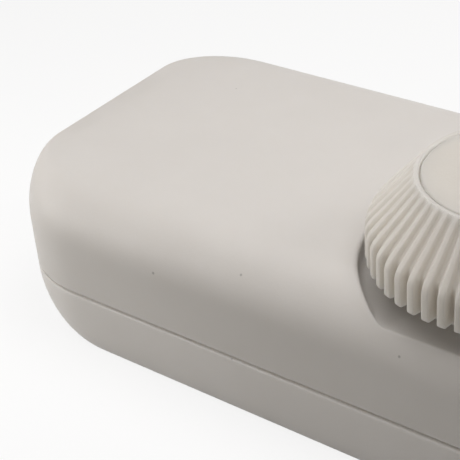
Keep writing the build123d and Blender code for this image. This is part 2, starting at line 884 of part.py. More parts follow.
nodes = {
    "top_cover": make_top_cover(),
    "base_shell": make_base_shell(),
    "dial_knob": make_dial_knob(),
    "dial_cap": make_dial_cap(),
    "dial_screw": make_dial_screw(),
    "potentiometer_can": make_pot_can(),
    "potentiometer_track": make_pot_track(),
    "potentiometer_pins": make_pot_pins(),
    "potentiometer_shaft": make_pot_shaft(),
    "potentiometer_rotor": make_pot_rotor(),
    "shaft_washer": make_shaft_washer(),
    "shaft_nut": make_shaft_nut(),
    "circuit_board": make_circuit_board(),
    "board_screws": make_board_screws(),
    "heat_sink": make_heat_sink(),
    "triac": make_triac(),
    "heat_sink_screw": make_heat_sink_screw(),
    "heat_sink_nut": make_heat_sink_nut(),
    "choke_core": make_choke_core(),
    "choke_winding": make_choke_winding(),
    "filter_capacitor": make_filter_capacitor(),
    "timing_capacitor": make_timing_capacitor(),
    "resistors": make_resistors(),
    "trigger_diode": make_trigger_diode(),
    "fuse_glass": make_fuse_glass(),
    "fuse_caps": make_fuse_caps(),
    "fuse_clips": make_fuse_clips(),
    "terminal_block_left": make_terminal_block(-1),
    "terminal_block_right": make_terminal_block(1),
    "terminal_cages": make_terminal_cages(),
    "terminal_screws": make_terminal_screws(),
    "cord_clamp_left": make_cord_clamp(-1),
    "cord_clamp_right": make_cord_clamp(1),
    "clamp_screws": make_clamp_screws(),
    "cover_screws": make_cover_screws(),
}

os.makedirs("parts", exist_ok=True)
for name, shape in nodes.items():
    export_step(shape, "parts/" + name + ".step")
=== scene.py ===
import json
import math

import bmesh
import bpy
from mathutils import Matrix, Vector


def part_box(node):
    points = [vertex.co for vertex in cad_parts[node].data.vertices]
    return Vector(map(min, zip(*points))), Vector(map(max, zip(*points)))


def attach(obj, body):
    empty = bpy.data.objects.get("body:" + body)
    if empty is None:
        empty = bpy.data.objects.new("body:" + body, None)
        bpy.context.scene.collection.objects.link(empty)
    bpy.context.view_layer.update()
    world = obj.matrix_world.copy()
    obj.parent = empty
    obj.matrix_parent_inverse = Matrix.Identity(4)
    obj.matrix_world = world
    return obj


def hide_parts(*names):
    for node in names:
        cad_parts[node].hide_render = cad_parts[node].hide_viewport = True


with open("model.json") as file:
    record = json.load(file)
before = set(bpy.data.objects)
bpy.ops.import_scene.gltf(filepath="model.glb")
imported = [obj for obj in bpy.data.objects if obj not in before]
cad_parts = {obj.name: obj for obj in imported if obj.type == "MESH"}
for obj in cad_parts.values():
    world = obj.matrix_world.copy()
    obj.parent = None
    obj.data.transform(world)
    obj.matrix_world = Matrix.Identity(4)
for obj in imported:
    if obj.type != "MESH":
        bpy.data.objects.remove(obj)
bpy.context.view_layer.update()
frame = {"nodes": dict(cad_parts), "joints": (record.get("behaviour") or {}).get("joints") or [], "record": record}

MM = 0.001

# The case, read from the frame where it gives a size
COVER_LOW, COVER_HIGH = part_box("top_cover")
KNOB_LOW, KNOB_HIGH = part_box("dial_knob")
CAP_LOW, CAP_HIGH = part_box("dial_cap")
END_X = COVER_HIGH.x
SIDE_Y = COVER_HIGH.y
CASE_Z = COVER_HIGH.z
CORNER_ALONG = 12.6 * MM
CORNER_ACROSS = 10.1 * MM
TOP_SIDE_ROUND = 7.0 * MM
TOP_END_DRAW = 0.8 * MM
BASE_END_ROUND = 8.1 * MM
BASE_SIDE_DRAW = 1.2 * MM
WALL = 2.0 * MM
SEAM_Z = 8.7 * MM
SEAM_GAP = 0.46 * MM
LIP_HEIGHT = 1.6 * MM
LIP_THICKNESS = 1.1 * MM
LIP_CLEARANCE = 0.1 * MM
LIP_OUTSIDE = WALL - LIP_THICKNESS
COVER_EDGE_ROUND = 0.15 * MM
BASE_EDGE_ROUND = 0.3 * MM

# The dial and its well
DIAL = Vector(frame["joints"][0]["pos_m"])
DIAL_RADIUS = (KNOB_HIGH.x - KNOB_LOW.x) / 2
SKIRT_Z = DIAL.z
CROWN_Z = KNOB_HIGH.z
SKIRT_HEIGHT = 4.1 * MM
SHOULDER_Z = SKIRT_Z + SKIRT_HEIGHT
WELL_GAP = 0.8 * MM
WELL_RADIUS = DIAL_RADIUS + WELL_GAP
WELL_DEPTH = 2.65 * MM
WELL_Z = CASE_Z - WELL_DEPTH
WELL_UNDER_Z = WELL_Z - WALL
WELL_RIM_ROUND = 0.6 * MM
FLOOR_EDGE_ROUND = 0.2 * MM
ROUND_SHARE = 0.6
WELL_FILLET = 0.9 * MM
BUSHING_HOLE = 3.55 * MM
RIB_COUNT = 52
RIB_DEPTH = 0.9 * MM
RIB_CONE_DEPTH = 0.42 * MM
RIB_TOP_DEPTH = 0.26 * MM
CAP_RADIUS = 10.2 * MM
CAP_SURROUND = 0.6 * MM
SURROUND_RADIUS = CAP_RADIUS + CAP_SURROUND

# The cord entries, and the posts and bosses inside the shells
ENTRY_RADIUS = 3.6 * MM
COLLAR_WALL = 1.8 * MM
COLLAR_OUTSIDE = ENTRY_RADIUS + COLLAR_WALL
COLLAR_LENGTH = 5.0 * MM
COLLAR_END_X = END_X - WALL - COLLAR_LENGTH
COVER_SCREW_X = END_X - 13.0 * MM
COVER_SCREW_Y = SIDE_Y - 8.0 * MM
COVER_SCREW_HOLE = 1.65 * MM
COVER_SCREW_SINK = 2.4 * MM
COVER_SCREW_END_Z = 16.9 * MM
RECESS_RADIUS = 3.0 * MM
PILOT_RADIUS = 1.5 * MM
COVER_BOSS_RADIUS = 3.4 * MM
COVER_POST_RADIUS = 3.8 * MM
COVER_POST_Z = COVER_LOW.z
CLAMP_X = END_X - 14.5 * MM
CLAMP_Y = 8.0 * MM
CLAMP_POST_RADIUS = 3.0 * MM
CLAMP_POST_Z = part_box("base_shell")[1].z
CLAMP_PILOT_Z = 4.6 * MM
BOARD_LOW, BOARD_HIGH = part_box("circuit_board")
BOARD_POST_X = BOARD_HIGH.x - 5.0 * MM
BOARD_POST_Y = BOARD_HIGH.y - 4.0 * MM
BOARD_POST_RADIUS = 2.6 * MM
BOARD_PILOT_Z = 1.1 * MM
SADDLE_LENGTH = 3.0 * MM
SADDLE_WIDTH = 11.0 * MM

# How far a cutting tool goes past the surface, and the gaps that count as none
PAST = 1.0 * MM
NEARLY_NONE = 0.001 * MM
WIRE_NEARLY_NONE = 0.0001 * MM

# The parts on the board, with a colour band's width as a share of its body's length
RESISTOR_LENGTH = 6.5 * MM
DIODE_LENGTH = 3.8 * MM
BAND_WIDTH = 0.07
CHOKE_X = 15.5 * MM
CHOKE_Y = 9.0 * MM
CHOKE_INNER = 4.0 * MM
CHOKE_OUTER = 9.5 * MM
WINDING_LOW, WINDING_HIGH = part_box("choke_winding")
WINDING_THICKNESS = 1.0 * MM
WINDING_START = math.radians(40.0)
WINDING_SWEEP = math.radians(280.0)
WINDING_TURNS = 27
WIRE_RADIUS = 0.4 * MM
WIRE_CORNER = 0.9 * MM

# How finely the surfaces are divided
TOP_STEPS = 26
UNDER_TOP_STEPS = 14
WELL_FILLET_STEPS = 4
RIM_STEPS = 5
COVER_EDGE_STEPS = 3
BASE_EDGE_STEPS = 5
BASE_STEPS = 14
BASE_INSIDE_STEPS = 10
CORNER_STEPS = 22
COVER_SIDE_STEP = 0.9 * MM
BASE_SIDE_STEP = 1.6 * MM
CONE_STEPS = 14
SHOULDER_STEPS = 6
CAP_EDGE_STEPS = 4
CAP_STEPS = 128
ROD_SIDES = 48
ENTRY_SIDES = 64
WIRE_SIDES = 8
WIRE_CORNER_STEPS = 3

# How many times a search halves its range
REACH_HALVINGS = 40
PLACE_HALVINGS = 30

# Edges that turn by more than this many degrees stay sharp
CREASE = 32.0
DIAL_CREASE = 40.0
WIRE_CREASE = 60.0


# Camera
def make_camera():
    """The photograph's viewpoint: where it looks, from how far, and how it is turned."""
    target = Vector((-52.53, 8.38, 0.0)) * MM
    distance = 200.2 * MM
    yaw = math.radians(39.44)
    pitch = math.radians(32.84)
    roll = math.radians(-4.96)
    back = Vector((math.sin(yaw) * math.cos(pitch), -math.cos(yaw) * math.cos(pitch), math.sin(pitch)))
    level = Vector((math.cos(yaw), math.sin(yaw), 0.0))
    upright = back.cross(level)
    right = math.cos(roll) * level + math.sin(roll) * upright
    up = math.cos(roll) * upright - math.sin(roll) * level
    data = bpy.data.cameras.new("photo_camera")
    data.sensor_width = 36.0
    data.lens = 107.5
    data.clip_start = 1 * MM
    data.clip_end = 10.0
    camera = bpy.data.objects.new("photo_camera", data)
    bpy.context.scene.collection.objects.link(camera)
    turn = Matrix((right, up, back)).transposed().to_4x4()
    camera.matrix_world = Matrix.Translation(target + distance * back) @ turn
    bpy.context.scene.camera = camera


# Materials: noise patterns in waves per metre, and the part of a noise's range that they use
CLOUD_SCALE = 90.0
WAVE_SCALE = 260.0
GRIT_SCALE = 2600.0
METAL_SCALE = 900.0
ENAMEL_SCALE = 500.0
GLASS_SCALE = 300.0
LACQUER_SCALE = 1200.0
NOISE_LOW = 0.3
NOISE_HIGH = 0.7

# Places of the Mix node's colours among its sockets
MIX_FIRST = 6
MIX_SECOND = 7
MIX_RESULT = 2

# A speck's solid middle as a share of its radius, and its shade as a share of the plastic's
SPECK_MIDDLE = 0.4
SPECK_SHADE = 0.62

# Finishes that several materials share
PLASTIC_IOR = 1.47
PLASTIC_DEPTH_COLOUR = (1.0, 0.98, 0.95)
GLASS_IOR = 1.5
METAL_GRAIN = 0.01 * MM
GLAZE_GRAIN = 0.02 * MM
BOX_GRAIN = 0.006 * MM
LEAD_GREY = (0.6, 0.6, 0.6)
BROWN = (0.2, 0.07, 0.03)
BLACK = (0.02, 0.02, 0.02)
ORANGE = (0.75, 0.25, 0.04)
GOLD = (0.55, 0.38, 0.12)


def new_material(name):
    material = bpy.data.materials.new(name)
    material.use_nodes = True
    tree = material.node_tree
    shader = tree.nodes["Principled BSDF"]
    return material, tree, shader


def add_node(tree, kind, **settings):
    node = tree.nodes.new(kind)
    for key, value in settings.items():
        if key in node.inputs:
            node.inputs[key].default_value = value
        else:
            setattr(node, key, value)
    return node


def object_noise(tree, scale, detail=2.0, roughness=0.5):
    """Noise fixed to the piece, with its scale in waves per metre."""
    place = add_node(tree, "ShaderNodeTexCoord")
    noise = add_node(tree, "ShaderNodeTexNoise", Scale=scale, Detail=detail, Roughness=roughness)
    tree.links.new(place.outputs["Object"], noise.inputs["Vector"])
    return noise


def mapped(tree, source, low, high, to_low, to_high):
    node = add_node(tree, "ShaderNodeMapRange")
    for key, value in (("From Min", low), ("From Max", high), ("To Min", to_low), ("To Max", to_high)):
        node.inputs[key].default_value = value
    tree.links.new(source, node.inputs["Value"])
    return node.outputs["Result"]


def spread(tree, noise, low, high):
    """A noise's used range, spread from one value to another."""
    return mapped(tree, noise.outputs["Fac"], NOISE_LOW, NOISE_HIGH, low, high)


def blended(tree, factor, first, second):
    """Colour that goes from the first to the second as the factor rises."""
    mix = add_node(tree, "ShaderNodeMix", data_type="RGBA")
    tree.links.new(factor, mix.inputs["Factor"])
    for socket, colour in ((mix.inputs[MIX_FIRST], first), (mix.inputs[MIX_SECOND], second)):
        if isinstance(colour, tuple):
            socket.default_value = (*colour, 1.0)
        else:
            tree.links.new(colour, socket)
    return mix.outputs[MIX_RESULT]


def bumped(tree, shader, height, distance):
    bump = add_node(tree, "ShaderNodeBump", Strength=1.0, Distance=distance)
    tree.links.new(height, bump.inputs["Height"])
    tree.links.new(bump.outputs["Normal"], shader.inputs["Normal"])


def moulded_plastic(name, colour, shade, roughness, grain, specks=(), depth=0.0):
    """Satin moulded plastic: soft cloudiness, a fine mould grain and dark specks at given points.

    The depth is how far light spreads under a pale plastic's surface."""
    material, tree, shader = new_material(name)
    cloud = object_noise(tree, CLOUD_SCALE, 3.0)
    tint = blended(tree, spread(tree, cloud, 0.0, 1.0), colour, shade)
    place = add_node(tree, "ShaderNodeTexCoord")
    for x, y, z, radius in specks:
        gap = add_node(tree, "ShaderNodeVectorMath", operation="DISTANCE")
        tree.links.new(place.outputs["Object"], gap.inputs[0])
        gap.inputs[1].default_value = (x * MM, y * MM, z * MM)
        dot = mapped(tree, gap.outputs["Value"], SPECK_MIDDLE * radius * MM, radius * MM, 1.0, 0.0)
        tint = blended(tree, dot, tint, tuple(part * SPECK_SHADE for part in shade))
    tree.links.new(tint, shader.inputs["Base Color"])
    grit = object_noise(tree, GRIT_SCALE)
    wave = object_noise(tree, WAVE_SCALE)
    surface = add_node(tree, "ShaderNodeMath", operation="MULTIPLY_ADD")
    tree.links.new(wave.outputs["Fac"], surface.inputs[0])
    surface.inputs[1].default_value = 2.0
    tree.links.new(grit.outputs["Fac"], surface.inputs[2])
    bumped(tree, shader, surface.outputs["Value"], grain)
    tree.links.new(spread(tree, cloud, roughness - 0.03, roughness + 0.04), shader.inputs["Roughness"])
    shader.inputs["IOR"].default_value = PLASTIC_IOR
    shader.inputs["Subsurface Weight"].default_value = 1.0 if depth else 0.0
    shader.inputs["Subsurface Radius"].default_value = PLASTIC_DEPTH_COLOUR
    shader.inputs["Subsurface Scale"].default_value = depth
    return material


def plain_metal(name, colour, shade, roughness, streak=1.0):
    """Bare or plated metal with fine streaks and patches of duller surface."""
    material, tree, shader = new_material(name)
    place = add_node(tree, "ShaderNodeTexCoord")
    stretch = add_node(tree, "ShaderNodeMapping")
    stretch.inputs["Scale"].default_value = (1.0, 1.0, streak)
    tree.links.new(place.outputs["Object"], stretch.inputs["Vector"])
    noise = add_node(tree, "ShaderNodeTexNoise", Scale=METAL_SCALE, Detail=3.0)
    tree.links.new(stretch.outputs["Vector"], noise.inputs["Vector"])
    factor = spread(tree, noise, 0.0, 1.0)
    tree.links.new(blended(tree, factor, colour, shade), shader.inputs["Base Color"])
    gloss = mapped(tree, factor, 0.0, 1.0, roughness, roughness + 0.12)
    tree.links.new(gloss, shader.inputs["Roughness"])
    bumped(tree, shader, noise.outputs["Fac"], METAL_GRAIN)
    shader.inputs["Metallic"].default_value = 1.0
    return material


def mottled(name, colour, shade, scale, roughness, grain):
    """Dull finish whose colour, gloss and surface vary together, as in laminate or pressed powder."""
    material, tree, shader = new_material(name)
    noise = object_noise(tree, scale, 4.0, 0.65)
    factor = spread(tree, noise, 0.0, 1.0)
    tree.links.new(blended(tree, factor, colour, shade), shader.inputs["Base Color"])
    gloss = mapped(tree, factor, 0.0, 1.0, roughness - 0.05, roughness + 0.1)
    tree.links.new(gloss, shader.inputs["Roughness"])
    bumped(tree, shader, noise.outputs["Fac"], grain)
    return material


def lacquered_wire(name, colour, shade):
    """Copper wire under clear enamel that is thicker in places."""
    material, tree, shader = new_material(name)
    noise = object_noise(tree, ENAMEL_SCALE, 3.0)
    factor = spread(tree, noise, 0.0, 1.0)
    tree.links.new(blended(tree, factor, colour, shade), shader.inputs["Base Color"])
    tree.links.new(mapped(tree, factor, 0.0, 1.0, 0.22, 0.36), shader.inputs["Roughness"])
    bumped(tree, shader, noise.outputs["Fac"], METAL_GRAIN)
    shader.inputs["Metallic"].default_value = 0.85
    shader.inputs["Coat Weight"].default_value = 0.6
    shader.inputs["Coat Roughness"].default_value = 0.12
    return material


def clear_glass(name, tint):
    """Drawn glass tube with faint waves along it."""
    material, tree, shader = new_material(name)
    noise = object_noise(tree, GLASS_SCALE)
    bumped(tree, shader, noise.outputs["Fac"], GLAZE_GRAIN)
    tree.links.new(spread(tree, noise, 0.02, 0.07), shader.inputs["Roughness"])
    shader.inputs["Base Color"].default_value = (*tint, 1.0)
    shader.inputs["Transmission Weight"].default_value = 1.0
    shader.inputs["IOR"].default_value = GLASS_IOR
    return material


def banded_body(name, node, body_length, coat, bands):
    """Lacquered body with colour bands round it, on bare wires, along X.

    Each band is a place, as a share of the body's length, and a colour."""
    material, tree, shader = new_material(name)
    low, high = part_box(node)
    middle = (low.x + high.x) / 2
    half = body_length / 2
    place = add_node(tree, "ShaderNodeTexCoord")
    parts = add_node(tree, "ShaderNodeSeparateXYZ")
    tree.links.new(place.outputs["Object"], parts.inputs["Vector"])
    along = mapped(tree, parts.outputs["X"], middle - half, middle + half, 0.0, 1.0)
    ramp = add_node(tree, "ShaderNodeValToRGB")
    ramp.color_ramp.interpolation = "CONSTANT"
    ramp.color_ramp.elements[0].color = (*coat, 1.0)
    ramp.color_ramp.elements[1].position = bands[0][0]
    ramp.color_ramp.elements[1].color = (*bands[0][1], 1.0)
    for start, colour in bands:
        if start != bands[0][0]:
            ramp.color_ramp.elements.new(start).color = (*colour, 1.0)
        ramp.color_ramp.elements.new(start + BAND_WIDTH).color = (*coat, 1.0)
    tree.links.new(along, ramp.inputs["Fac"])
    on_body = add_node(tree, "ShaderNodeMath", operation="COMPARE")
    on_body.inputs[1].default_value = middle
    on_body.inputs[2].default_value = half
    tree.links.new(parts.outputs["X"], on_body.inputs[0])
    noise = object_noise(tree, LACQUER_SCALE, 3.0)
    tint = blended(tree, on_body.outputs["Value"], LEAD_GREY, ramp.outputs["Color"])
    tree.links.new(tint, shader.inputs["Base Color"])
    tree.links.new(mapped(tree, on_body.outputs["Value"], 0.0, 1.0, 1.0, 0.0), shader.inputs["Metallic"])
    tree.links.new(spread(tree, noise, 0.3, 0.45), shader.inputs["Roughness"])
    bumped(tree, shader, noise.outputs["Fac"], GLAZE_GRAIN)
    return material


def inner_materials():
    """The materials of the pieces inside the case, by the record's slots."""
    return {
        "plated_steel": plain_metal("plated_steel", (0.62, 0.62, 0.62), (0.5, 0.5, 0.51), 0.26),
        "aluminium": plain_metal("aluminium", (0.75, 0.75, 0.76), (0.66, 0.66, 0.68), 0.4, 0.12),
        "brass": plain_metal("brass", (0.72, 0.56, 0.3), (0.62, 0.46, 0.22), 0.28),
        "board_laminate": mottled(
            "board_laminate", (0.5, 0.36, 0.18), (0.4, 0.27, 0.12), 700.0, 0.55, 0.02 * MM
        ),
        "black_plastic": moulded_plastic(
            "black_plastic", (0.03, 0.03, 0.03), (0.05, 0.05, 0.05), 0.45, 0.01 * MM
        ),
        "ferrite": mottled("ferrite", (0.1, 0.1, 0.1), (0.16, 0.16, 0.16), 2400.0, 0.75, 0.03 * MM),
        "enamelled_copper": lacquered_wire("enamelled_copper", (0.6, 0.25, 0.1), (0.45, 0.16, 0.06)),
        "capacitor_plastic": moulded_plastic(
            "capacitor_plastic", (0.7, 0.5, 0.1), (0.64, 0.44, 0.08), 0.3, BOX_GRAIN
        ),
        "glass": clear_glass("glass", (0.85, 0.9, 0.9)),
        "terminal_plastic": moulded_plastic(
            "terminal_plastic", (0.1, 0.25, 0.15), (0.08, 0.21, 0.12), 0.32, BOX_GRAIN
        ),
    }


def dress_nodes(materials, special):
    """Gives each CAD node that still shows its own material, or its slot's."""
    for part in frame["record"]["subparts"]:
        node = frame["nodes"][part["node"]]
        material = special.get(part["node"]) or materials.get(part["material_slot"])
        for holder in node.material_slots:
            holder.material = material


# Surfaces made ring by ring
def ring_skin(sections):
    """Closed skin through one section for each direction round an axis.

    A flat grid has one column for each direction, and its vertices are moved to their places on the
    sections. A section that doesn't start on the axis ends where it starts."""
    steps = len(sections)
    rings = len(sections[0])
    rows = rings if (sections[0][0] - sections[1][0]).length > 0 else rings - 1
    bm = bmesh.new()
    bmesh.ops.create_grid(bm, x_segments=steps, y_segments=rows, size=1.0)
    for vert in bm.verts:
        step = round((vert.co.x + 1) / 2 * steps)
        ring = round((vert.co.y + 1) / 2 * rows)
        vert.co = sections[step % steps][ring % rings]
    bmesh.ops.remove_doubles(bm, verts=bm.verts, dist=NEARLY_NONE)
    bmesh.ops.recalc_face_normals(bm, faces=bm.faces)
    return bm


def turned_skin(profile, steps, centre):
    """Closed solid of revolution from a profile of (radius, height) points, about an upright axis."""
    bm = bmesh.new()
    chain = [bm.verts.new((centre.x + radius, centre.y, height)) for radius, height in profile]
    edges = [bm.edges.new(pair) for pair in zip(chain, chain[1:])]
    if profile[0][0] > 0:
        edges.append(bm.edges.new((chain[-1], chain[0])))
    bmesh.ops.spin(
        bm, geom=chain + edges, cent=(centre.x, centre.y, 0), axis=(0, 0, 1), angle=math.tau,
        steps=steps, use_merge=True,
    )
    bmesh.ops.remove_doubles(bm, verts=bm.verts, dist=NEARLY_NONE)
    bmesh.ops.recalc_face_normals(bm, faces=bm.faces)
    return bm


def finish_mesh(bm, name, crease=CREASE):
    """Object from a bmesh, smooth but for the edges that turn by more than the crease angle."""
    for face in bm.faces:
        face.smooth = True
    mesh = bpy.data.meshes.new(name)
    bm.to_mesh(mesh)
    bm.free()
    mesh.set_sharp_from_angle(angle=math.radians(crease))
    piece = bpy.data.objects.new(name, mesh)
    bpy.context.scene.collection.objects.link(piece)
    return piece


def dressed(piece, body, slot, material, *nodes):
    piece.data.materials.clear()
    piece.data.materials.append(material)
    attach(piece, body)
    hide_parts(*nodes)
    return piece


def quarter(steps):
    """Sine and cosine pairs from 0 to 90 degrees."""
    pairs = []
    for step in range(steps + 1):
        angle = math.pi / 2 * step / steps
        pairs.append((math.sin(angle), math.cos(angle)))
    return pairs


# The case's outline
def outside(x, y, draw_x, draw_y, shrink):
    """Whether a point is outside the case's outline at one level, as a number over or under 0."""
    corner_draw = shrink + (draw_x + draw_y) / 2
    round_x = CORNER_ALONG - corner_draw
    round_y = CORNER_ACROSS - corner_draw
    over_x = abs(x) - (END_X - draw_x - shrink - round_x)
    over_y = abs(y) - (SIDE_Y - draw_y - shrink - round_y)
    if over_x > 0 and over_y > 0:
        return (over_x / round_x) ** 2 + (over_y / round_y) ** 2 - 1
    return max(over_x / round_x, over_y / round_y) - 1


def reach(direction, start, draw_x, draw_y, shrink):
    """Distance from a start point to the outline along a direction."""
    low = 0.0
    high = 2 * END_X
    for halving in range(REACH_HALVINGS):
        middle = (low + high) / 2
        x = start.x + middle * direction.x
        y = start.y + middle * direction.y
        if outside(x, y, draw_x, draw_y, shrink) > 0:
            high = middle
        else:
            low = middle
    return low


def outline_directions(start, side_step, corner_steps):
    """Directions from a start point to points all round the outline, closer together at its corners."""
    straight_x = END_X - CORNER_ALONG
    straight_y = SIDE_Y - CORNER_ACROSS
    points = []
    for quadrant in range(4):
        sign_x = 1 if quadrant in (0, 3) else -1
        sign_y = 1 if quadrant in (0, 1) else -1
        for step in range(corner_steps + 1):
            angle = math.pi / 2 * (quadrant + step / corner_steps)
            points.append((
                sign_x * straight_x + CORNER_ALONG * math.cos(angle),
                sign_y * straight_y + CORNER_ACROSS * math.sin(angle),
            ))
        along = quadrant % 2 == 0
        length = 2 * (straight_x if along else straight_y)
        count = max(2, round(length / side_step))
        x, y = points[-1]
        for step in range(1, count):
            run = length * step / count
            if along:
                points.append((x - sign_x * run, y))
            else:
                points.append((x, y - sign_y * run))
    directions = [Vector((x - start.x, y - start.y, 0)).normalized() for x, y in points]
    return sorted(directions, key=lambda way: math.atan2(way.y, way.x))


# The case's upper half, seen as one slope from the dial's axis out to the seam
class UpperForm:
    """Outer or inner surface of the case's upper half along one direction from the dial's axis.

    The place runs from 0 at the axis over the flat top to 1 where the flat ends, and from there to 2
    where the side is upright."""

    def __init__(self, direction, shrink):
        self.direction = direction
        self.shrink = shrink
        self.top_z = CASE_Z - shrink
        self.spring_z = CASE_Z - TOP_SIDE_ROUND
        self.rise = TOP_SIDE_ROUND - shrink
        self.flat = reach(direction, DIAL, TOP_END_DRAW, self.rise, shrink)
        self.side = reach(direction, DIAL, 0, 0, shrink)

    def at(self, place):
        """Distance from the axis and height at a place."""
        if place <= 1:
            return self.flat * place, self.top_z
        angle = math.pi / 2 * (place - 1)
        drawn = 1 - math.sin(angle)
        out = reach(self.direction, DIAL, TOP_END_DRAW * drawn, self.rise * drawn, self.shrink)
        return out, self.spring_z + self.rise * math.cos(angle)

    def place_of(self, test):
        """The place where a test of distance and height changes from false to true."""
        low = 0.0
        high = 2.0
        for halving in range(PLACE_HALVINGS):
            middle = (low + high) / 2
            if test(*self.at(middle)):
                high = middle
            else:
                low = middle
        return high

    def points(self, start, count):
        """Evenly placed points from a start place to the upright side."""
        return [self.at(start + (2 - start) * step / count) for step in range(count + 1)]


def corner_curve(before, corner, after, steps):
    """Points that round a corner: a curve from before to after that the corner pulls outwards."""
    curve = []
    for step in range(steps + 1):
        t = step / steps
        weights = ((1 - t) ** 2, 2 * t * (1 - t), t ** 2)
        curve.append(tuple(
            weights[0] * a + weights[1] * b + weights[2] * c for a, b, c in zip(before, corner, after)
        ))
    return curve


def well_rim(form):
    """Rounded rim of the well along one direction, from its floor or wall to the outer surface."""
    edge = form.place_of(lambda out, z: out >= WELL_RADIUS or z <= WELL_Z)
    out, z = form.at(edge)
    height = z - WELL_Z
    open_run = WELL_RADIUS - out
    if open_run > NEARLY_NONE:
        size = min(FLOOR_EDGE_ROUND, ROUND_SHARE * open_run)
        corner = (out, WELL_Z)
        before = (out - size, WELL_Z)
    else:
        size = min(WELL_RIM_ROUND, ROUND_SHARE * height)
        corner = (WELL_RADIUS, z)
        before = (WELL_RADIUS, z - size)

    def past_corner(far, low):
        return math.hypot(far - corner[0], low - corner[1]) >= size and far > out

    after_place = form.place_of(past_corner)
    return corner_curve(before, corner, form.at(after_place), RIM_STEPS), after_place


def cover_section(direction):
    """One closed section of the cover, from the dial's axis outwards along a direction."""
    outer = UpperForm(direction, 0)
    inner = UpperForm(direction, WALL)
    rim, start = well_rim(outer)
    floor_end = min(rim[0][0], WELL_RADIUS)
    points = [(BUSHING_HOLE, WELL_UNDER_Z), (BUSHING_HOLE, WELL_Z)]
    fillet = 0.0
    if rim[0][1] > WELL_Z:
        fillet = min(WELL_FILLET, rim[0][1] - WELL_Z)
    for share in (0.3, 0.65, 1.0):
        points.append((BUSHING_HOLE + (floor_end - fillet - BUSHING_HOLE) * share, WELL_Z))
    for sine, cosine in quarter(WELL_FILLET_STEPS)[1:]:
        points.append((floor_end - fillet * (1 - sine), WELL_Z + fillet * (1 - cosine)))
    points += rim
    points += outer.points(start, TOP_STEPS)[1:]
    seam_top = SEAM_Z + SEAM_GAP / 2
    for share in (0.35, 0.7):
        points.append((outer.side, outer.spring_z + (seam_top - outer.spring_z) * share))
    for sine, cosine in quarter(COVER_EDGE_STEPS):
        out = outer.side - COVER_EDGE_ROUND * (1 - cosine)
        points.append((out, seam_top + COVER_EDGE_ROUND * (1 - sine)))
    rebate = reach(direction, DIAL, 0, 0, LIP_OUTSIDE)
    points.append((rebate, seam_top))
    points.append((rebate, SEAM_Z + LIP_HEIGHT))
    points.append((inner.side, SEAM_Z + LIP_HEIGHT))
    under_well = inner.place_of(lambda out, z: out >= WELL_RADIUS + WALL or z <= WELL_UNDER_Z)
    points += inner.points(under_well, UNDER_TOP_STEPS)[::-1]
    points.append((min(WELL_RADIUS + WALL, inner.at(under_well)[0]), WELL_UNDER_Z))
    return [DIAL.xy.to_3d() + direction * out + Vector((0, 0, z)) for out, z in points]


def base_section(direction, centre):
    """One section of the base shell, from its underside's middle out, up and back over its floor."""
    points = []
    bottom_out = reach(direction, centre, BASE_END_ROUND, BASE_SIDE_DRAW, 0)
    for share in (0.0, 0.35, 0.7):
        points.append((bottom_out * share, 0.0))
    for sine, cosine in quarter(BASE_STEPS):
        drawn = 1 - sine
        out = reach(direction, centre, BASE_END_ROUND * drawn, BASE_SIDE_DRAW * drawn, 0)
        points.append((out, BASE_END_ROUND * (1 - cosine)))
    side = points[-1][0]
    seam_low = SEAM_Z - SEAM_GAP / 2
    for sine, cosine in quarter(BASE_EDGE_STEPS):
        out = side - BASE_EDGE_ROUND * (1 - cosine)
        points.append((out, seam_low - BASE_EDGE_ROUND * (1 - sine)))
    lip = reach(direction, centre, 0, 0, LIP_OUTSIDE + LIP_CLEARANCE)
    points.append((lip, seam_low))
    points.append((lip, SEAM_Z + LIP_HEIGHT))
    inside = reach(direction, centre, 0, 0, WALL)
    points.append((inside, SEAM_Z + LIP_HEIGHT))
    rise = BASE_END_ROUND - WALL
    for sine, cosine in quarter(BASE_INSIDE_STEPS):
        drawn = 1 - cosine
        out = reach(direction, centre, rise * drawn, BASE_SIDE_DRAW * drawn, WALL)
        points.append((out, BASE_END_ROUND - rise * sine))
    floor_out = points[-1][0]
    for share in (0.7, 0.35, 0.0):
        points.append((floor_out * share, WALL))
    return [centre + direction * out + Vector((0, 0, z)) for out, z in points]


# Posts, collars and holes of the shells
def upright_rod(bm, x, y, radius, low, high):
    place = Matrix.Translation((x, y, (low + high) / 2))
    bmesh.ops.create_cone(
        bm, cap_ends=True, segments=ROD_SIDES, radius1=radius, radius2=radius, depth=high - low,
        matrix=place,
    )


def entry_rod(bm, side, radius, inner, outer):
    """Rod along a cord entry, from one distance from the middle of the case to another."""
    place = Matrix.Translation((side * (inner + outer) / 2, 0, SEAM_Z))
    place = place @ Matrix.Rotation(math.pi / 2, 4, "Y")
    bmesh.ops.create_cone(
        bm, cap_ends=True, segments=ENTRY_SIDES, radius1=radius, radius2=radius, depth=outer - inner,
        matrix=place,
    )


def block(bm, centre, size):
    place = Matrix.Translation(centre) @ Matrix.Diagonal((*size, 1.0))
    bmesh.ops.create_cube(bm, size=1.0, matrix=place)


def half_collars(bm, keep):
    """Both entry collars' lower halves where keep is -1, and their upper halves where it is 1."""
    for side in (-1, 1):
        entry_rod(bm, side, COLLAR_OUTSIDE, COLLAR_END_X, END_X - WALL / 2)
    cut = bmesh.ops.bisect_plane(
        bm, geom=bm.verts[:] + bm.edges[:] + bm.faces[:], plane_co=(0, 0, SEAM_Z),
        plane_no=(0, 0, -keep), clear_outer=True,
    )
    rims = [item for item in cut["geom_cut"] if isinstance(item, bmesh.types.BMEdge)]
    bmesh.ops.holes_fill(bm, edges=rims)
    bmesh.ops.recalc_face_normals(bm, faces=bm.faces)


def four_corners(along, across):
    return [(x_side * along, y_side * across) for x_side in (-1, 1) for y_side in (-1, 1)]


